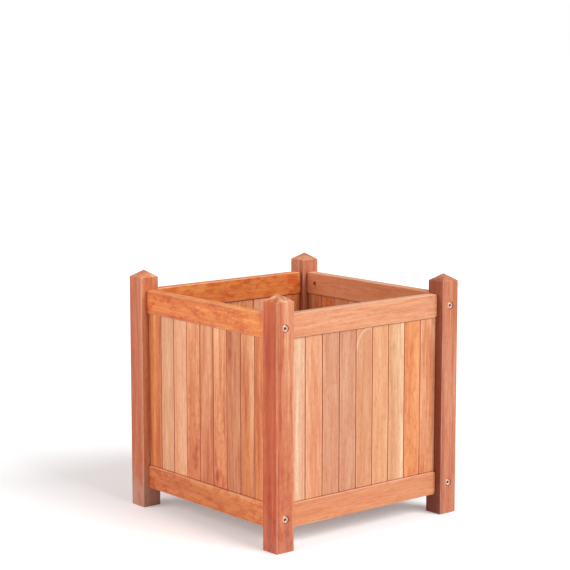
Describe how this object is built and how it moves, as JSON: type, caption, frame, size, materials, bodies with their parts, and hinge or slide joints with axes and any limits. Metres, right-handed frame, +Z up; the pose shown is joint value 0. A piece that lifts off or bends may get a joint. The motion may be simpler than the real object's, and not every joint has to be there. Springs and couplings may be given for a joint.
{
  "type": "versailles planter",
  "caption": "Square open-topped wooden planter: four capped posts, top and bottom rails, upright tongue-and-groove boards and a lift-out slatted floor.",
  "frame": {"origin": "on the ground, at the middle of the four feet", "axes": "+Z up, front (the posts' faces with the bolt heads) towards -Y, +X to the right seen from the front"},
  "size_m": [0.5, 0.5, 0.52],
  "materials": {
    "post_wood": "oiled, satin",
    "rail_wood": "oiled, satin",
    "floor_wood": "oiled, satin",
    "board_cream": "oiled, satin",
    "board_tan": "oiled, satin",
    "board_golden": "oiled, satin",
    "board_orange": "oiled, satin",
    "board_salmon": "oiled, satin",
    "board_grey_pink": "oiled, satin",
    "board_brown": "oiled, satin",
    "bolt_steel": "zinc plated, bright"
  },
  "bodies": {
    "planter_box": {"post_front_left": "post_wood", "post_front_right": "post_wood", "post_back_left": "post_wood", "post_back_right": "post_wood", "front_top_rail": "rail_wood", "front_bottom_rail": "rail_wood", "back_top_rail": "rail_wood", "back_bottom_rail": "rail_wood", "left_top_rail": "rail_wood", "left_bottom_rail": "rail_wood", "right_top_rail": "rail_wood", "right_bottom_rail": "rail_wood", "front_board_1": "board_cream", "front_board_2": "board_salmon", "front_board_3": "board_grey_pink", "front_board_4": "board_grey_pink", "front_board_5": "board_salmon", "front_board_6": "board_golden", "front_board_7": "board_tan", "front_board_8": "board_orange", "front_board_9": "board_salmon", "back_board_1": "board_orange", "back_board_2": "board_cream", "back_board_3": "board_cream", "back_board_4": "board_golden", "back_board_5": "board_salmon", "back_board_6": "board_tan", "back_board_7": "board_brown", "back_board_8": "board_orange", "back_board_9": "board_orange", "left_board_1": "board_orange", "left_board_2": "board_cream", "left_board_3": "board_cream", "left_board_4": "board_golden", "left_board_5": "board_salmon", "left_board_6": "board_tan", "left_board_7": "board_brown", "left_board_8": "board_orange", "left_board_9": "board_orange", "right_board_1": "board_cream", "right_board_2": "board_salmon", "right_board_3": "board_grey_pink", "right_board_4": "board_grey_pink", "right_board_5": "board_salmon", "right_board_6": "board_golden", "right_board_7": "board_tan", "right_board_8": "board_orange", "right_board_9": "board_salmon", "bolt_front_left_top": "bolt_steel", "bolt_front_left_bottom": "bolt_steel", "bolt_front_right_top": "bolt_steel", "bolt_front_right_bottom": "bolt_steel", "bolt_back_left_top": "bolt_steel", "bolt_back_left_bottom": "bolt_steel", "bolt_back_right_top": "bolt_steel", "bolt_back_right_bottom": "bolt_steel", "left_ledger": "floor_wood", "right_ledger": "floor_wood"},
    "floor": {"slatted_floor": "floor_wood"}
  },
  "joints": [
    {"name": "floor_lift", "type": "slide", "parent": "planter_box", "child": "floor", "axis": [0, 0, 1], "range_m": [0, 0.47]}
  ]
}
